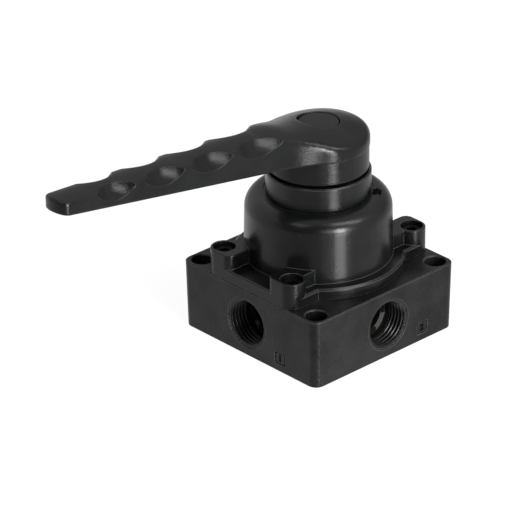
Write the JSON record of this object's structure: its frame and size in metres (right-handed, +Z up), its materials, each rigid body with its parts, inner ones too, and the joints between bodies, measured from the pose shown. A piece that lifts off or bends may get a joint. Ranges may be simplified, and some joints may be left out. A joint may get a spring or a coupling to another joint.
{
  "type": "hand lever air valve",
  "caption": "Square-bodied rotary hand valve for compressed air, switched by a long lever on a domed bonnet, with threaded side ports.",
  "frame": {"origin": "centre of the body's flat bottom face, on the spindle axis", "axes": "+Z up the spindle axis, -Y along the lever in its middle position, +X to the lever's left seen from above the hub towards the tip"},
  "size_m": [0.08, 0.1813, 0.1076],
  "materials": {
    "housing_black": "die casting under satin black paint",
    "lever_black": "die casting under satin black paint",
    "collar_black": "turned, satin black",
    "cap_black": "moulded, fine grain",
    "screw_steel": "black oxide",
    "spring_steel": "drawn wire and strip",
    "spindle_steel": "turned and ground",
    "bush_bronze": "sintered bronze",
    "seat_polymer": "lapped acetal",
    "washer_polymer": "smooth",
    "seal_rubber": "nitrile rubber"
  },
  "bodies": {
    "housing": {"valve_body": "housing_black", "bonnet": "housing_black", "bonnet_o_ring": "seal_rubber", "bonnet_screws": "screw_steel", "screw_spring_washers": "spring_steel", "spindle_bush": "bush_bronze", "neck_collar": "collar_black", "stop_pin": "spindle_steel"},
    "lever_group": {"lever": "lever_black", "lever_screw": "screw_steel", "lever_screw_washer": "spindle_steel", "lever_cap": "cap_black", "spindle": "spindle_steel", "spindle_o_ring": "seal_rubber", "spindle_circlip": "spring_steel", "thrust_washer": "washer_polymer", "rotor_disc": "seat_polymer", "rotor_spring": "spring_steel", "detent_spring_left": "spring_steel", "detent_spring_right": "spring_steel"},
    "ball_left": {"detent_ball_left": "spindle_steel"},
    "ball_right": {"detent_ball_right": "spindle_steel"}
  },
  "joints": [
    {"name": "lever_turn", "type": "hinge", "parent": "housing", "child": "lever_group", "pos_m": [0, 0, 0], "axis": [0, 0, 1], "range_deg": [-45, 45]},
    {"name": "ball_left_drop", "type": "slide", "parent": "lever_group", "child": "ball_left", "axis": [0, 0, -1], "range_m": [0, 0.0011], "stiffness_N_per_m": 1000, "springref_m": 0.003, "deforming": ["detent_spring_left"]},
    {"name": "ball_right_drop", "type": "slide", "parent": "lever_group", "child": "ball_right", "axis": [0, 0, -1], "range_m": [0, 0.0011], "stiffness_N_per_m": 1000, "springref_m": 0.003, "deforming": ["detent_spring_right"]}
  ]
}
